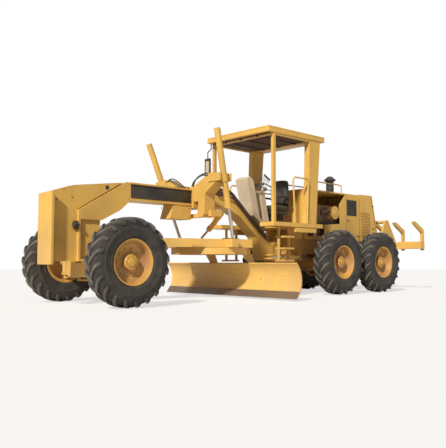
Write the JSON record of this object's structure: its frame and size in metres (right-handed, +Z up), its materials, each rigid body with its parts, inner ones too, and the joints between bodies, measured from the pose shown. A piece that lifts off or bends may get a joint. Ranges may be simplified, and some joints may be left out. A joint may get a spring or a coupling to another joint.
{
  "type": "motor grader",
  "caption": "Articulated motor grader with open canopy, tandem rear wheels, blade on a turning circle, front push plate and rear ripper.",
  "frame": {"origin": "on the ground at the middle of the bounding box in length and width", "axes": "+X forward, +Y to the left side of the machine, +Z up"},
  "size_m": [9.72, 3.66, 3.34],
  "materials": {
    "paint": "weathered semi-gloss warm yellow",
    "shade_paint": "dusty darker yellow",
    "tyre": "dusty black rubber",
    "black": "matt black",
    "seat": "black vinyl",
    "trim": "dusty beige",
    "rod": "polished rod",
    "iron": "rusty brown casting"
  },
  "bodies": {
    "chassis": {"rear_frame": "shade_paint", "tandem_axle": "shade_paint", "engine_block": "iron", "air_cleaner": "paint", "engine_hood": "paint", "radiator_housing": "paint", "exhaust_stack": "black", "operator_platform": "paint", "canopy_posts": "paint", "canopy_roof": "paint", "handrail_left": "paint", "handrail_right": "paint", "mirror": "black", "control_console": "trim", "steering_column": "trim", "operator_seat": "seat"},
    "front_frame": {"main_beam": "paint", "nose_frame": "paint", "push_plate": "paint", "bolster": "paint", "beam_box": "paint", "lift_saddle": "paint", "front_axle": "paint", "lean_linkage": "paint"},
    "steer_left": {"steering_knuckle_left": "paint"},
    "steer_right": {"steering_knuckle_right": "paint"},
    "tie_rod": {"tie_rod": "paint"},
    "drawbar_swivel": {"drawbar_ball": "iron"},
    "drawbar": {"drawbar": "paint"},
    "circle": {"circle": "paint"},
    "blade_tilt": {"blade_carrier": "paint"},
    "blade": {"moldboard": "paint"},
    "ripper": {"ripper": "paint"},
    "lift_cylinder_left": {"lift_cylinder_left": "paint"},
    "lift_rod_left": {"lift_rod_left": "rod"},
    "articulation_cylinder_left": {"articulation_cylinder_left": "paint"},
    "articulation_rod_left": {"articulation_rod_left": "rod"},
    "lift_cylinder_right": {"lift_cylinder_right": "paint"},
    "lift_rod_right": {"lift_rod_right": "rod"},
    "articulation_cylinder_right": {"articulation_cylinder_right": "paint"},
    "articulation_rod_right": {"articulation_rod_right": "rod"},
    "shift_cylinder": {"shift_cylinder": "paint"},
    "shift_rod": {"shift_rod": "rod"},
    "ripper_cylinder": {"ripper_cylinder": "paint"},
    "ripper_rod": {"ripper_rod": "rod"},
    "wheel_front_left": {"tyre_front_left": "tyre", "rim_front_left": "paint"},
    "wheel_front_right": {"tyre_front_right": "tyre", "rim_front_right": "paint"},
    "wheel_middle_left": {"tyre_middle_left": "tyre", "rim_middle_left": "paint"},
    "wheel_middle_right": {"tyre_middle_right": "tyre", "rim_middle_right": "paint"},
    "wheel_rear_left": {"tyre_rear_left": "tyre", "rim_rear_left": "paint"},
    "wheel_rear_right": {"tyre_rear_right": "tyre", "rim_rear_right": "paint"}
  },
  "joints": [
    {"name": "articulation", "type": "hinge", "parent": "chassis", "child": "front_frame", "pos_m": [-0.41, 0, 0.685], "axis": [0, 0, 1], "range_deg": [-20, 20]},
    {"name": "steering_left", "type": "hinge", "parent": "front_frame", "child": "steer_left", "pos_m": [4.01, 0.9, 0.685], "axis": [0, 0, 1], "range_deg": [-50, 50]},
    {"name": "steering_right", "type": "hinge", "parent": "front_frame", "child": "steer_right", "pos_m": [4.01, -0.9, 0.685], "axis": [0, 0, 1], "range_deg": [-50, 50]},
    {"name": "tie_rod_turn", "type": "hinge", "parent": "steer_left", "child": "tie_rod", "pos_m": [3.81, 0.78, 0.38], "axis": [0, 0, 1], "range_deg": [-57, 57]},
    {"name": "roll_front_left", "type": "hinge", "parent": "steer_left", "child": "wheel_front_left", "pos_m": [4.01, 1.03, 0.685], "axis": [0, 1, 0], "continuous": true},
    {"name": "roll_front_right", "type": "hinge", "parent": "steer_right", "child": "wheel_front_right", "pos_m": [4.01, -1.03, 0.685], "axis": [0, 1, 0], "continuous": true},
    {"name": "roll_middle_left", "type": "hinge", "parent": "chassis", "child": "wheel_middle_left", "pos_m": [-1.3145, 1.03, 0.685], "axis": [0, 1, 0], "continuous": true},
    {"name": "roll_middle_right", "type": "hinge", "parent": "chassis", "child": "wheel_middle_right", "pos_m": [-1.3145, -1.03, 0.685], "axis": [0, 1, 0], "continuous": true},
    {"name": "roll_rear_left", "type": "hinge", "parent": "chassis", "child": "wheel_rear_left", "pos_m": [-2.8375, 1.03, 0.685], "axis": [0, 1, 0], "continuous": true},
    {"name": "roll_rear_right", "type": "hinge", "parent": "chassis", "child": "wheel_rear_right", "pos_m": [-2.8375, -1.03, 0.685], "axis": [0, 1, 0], "continuous": true},
    {"name": "drawbar_side_shift", "type": "hinge", "parent": "front_frame", "child": "drawbar_swivel", "pos_m": [3.74, 0, 0.96], "axis": [0, 0, 1], "range_deg": [-16, 16]},
    {"name": "drawbar_lift", "type": "hinge", "parent": "drawbar_swivel", "child": "drawbar", "pos_m": [3.74, 0, 0.96], "axis": [0, 1, 0], "range_deg": [-15, 10]},
    {"name": "circle_turn", "type": "hinge", "parent": "drawbar", "child": "circle", "pos_m": [1.41, 0, 0.95], "axis": [0, 0, 1], "continuous": true},
    {"name": "blade_tip", "type": "hinge", "parent": "circle", "child": "blade_tilt", "pos_m": [0.77, 0, 0.3], "axis": [0, 1, 0], "range_deg": [-5, 40]},
    {"name": "blade_side_shift", "type": "slide", "parent": "blade_tilt", "child": "blade", "axis": [0, -1, 0], "range_m": [-0.66, 0.51]},
    {"name": "lift_swing_left", "type": "hinge", "parent": "front_frame", "child": "lift_cylinder_left", "pos_m": [1.901, 0.894, 2.2], "axis": [0, 1, 0], "range_deg": [-8, 6]},
    {"name": "lift_stroke_left", "type": "slide", "parent": "lift_cylinder_left", "child": "lift_rod_left", "axis": [-0.308, -0.1212, -0.9436], "range_m": [-0.38, 0.56]},
    {"name": "lift_swing_right", "type": "hinge", "parent": "front_frame", "child": "lift_cylinder_right", "pos_m": [1.901, -0.894, 2.2], "axis": [0, 1, 0], "range_deg": [-8, 6]},
    {"name": "lift_stroke_right", "type": "slide", "parent": "lift_cylinder_right", "child": "lift_rod_right", "axis": [-0.308, 0.1212, -0.9436], "range_m": [-0.38, 0.56]},
    {"name": "shift_swing", "type": "hinge", "parent": "front_frame", "child": "shift_cylinder", "pos_m": [1.59, 0.5, 1.58], "axis": [1, 0, 0], "range_deg": [-32, 48]},
    {"name": "shift_stroke", "type": "slide", "parent": "shift_cylinder", "child": "shift_rod", "axis": [0, -0.7938, -0.6082], "range_m": [-0.145, 0.215]},
    {"name": "articulation_swing_left", "type": "hinge", "parent": "chassis", "child": "articulation_cylinder_left", "pos_m": [-0.65, 0.5, 0.8], "axis": [0, 0, 1], "range_deg": [-10, 10]},
    {"name": "articulation_stroke_left", "type": "slide", "parent": "articulation_cylinder_left", "child": "articulation_rod_left", "axis": [0.9648, -0.2631, 0], "range_m": [-0.16, 0.16]},
    {"name": "articulation_swing_right", "type": "hinge", "parent": "chassis", "child": "articulation_cylinder_right", "pos_m": [-0.65, -0.5, 0.8], "axis": [0, 0, 1], "range_deg": [-10, 10]},
    {"name": "articulation_stroke_right", "type": "slide", "parent": "articulation_cylinder_right", "child": "articulation_rod_right", "axis": [0.9648, 0.2631, 0], "range_m": [-0.16, 0.16]},
    {"name": "ripper_lift", "type": "hinge", "parent": "chassis", "child": "ripper", "pos_m": [-3.85, 0, 0.96], "axis": [0, 1, 0], "range_deg": [-30, 2]},
    {"name": "ripper_swing", "type": "hinge", "parent": "chassis", "child": "ripper_cylinder", "pos_m": [-3.8359, 0, 1.28], "axis": [0, 1, 0], "range_deg": [-40, 4]},
    {"name": "ripper_stroke", "type": "slide", "parent": "ripper_cylinder", "child": "ripper_rod", "axis": [-0.6651, 0, 0.7467], "range_m": [-0.02, 0.16]}
  ],
  "couplings": [
    {"joint": "steering_right", "follows": "steering_left", "ratio": 1},
    {"joint": "tie_rod_turn", "follows": "steering_left", "ratio": -1.127},
    {"joint": "lift_swing_left", "follows": "drawbar_lift", "ratio": 0.4534},
    {"joint": "lift_stroke_left", "follows": "drawbar_lift", "m_per_rad": -2.1},
    {"joint": "lift_swing_right", "follows": "drawbar_lift", "ratio": 0.4534},
    {"joint": "lift_stroke_right", "follows": "drawbar_lift", "m_per_rad": -2.1},
    {"joint": "shift_swing", "follows": "drawbar_lift", "ratio": -3.15},
    {"joint": "shift_stroke", "follows": "drawbar_lift", "m_per_rad": -0.797},
    {"joint": "articulation_swing_left", "follows": "articulation", "ratio": 0.468},
    {"joint": "articulation_stroke_left", "follows": "articulation", "m_per_rad": -0.4178},
    {"joint": "articulation_swing_right", "follows": "articulation", "ratio": 0.468},
    {"joint": "articulation_stroke_right", "follows": "articulation", "m_per_rad": 0.4178},
    {"joint": "ripper_swing", "follows": "ripper_lift", "ratio": 1.2678},
    {"joint": "ripper_stroke", "follows": "ripper_lift", "m_per_rad": -0.2717}
  ]
}
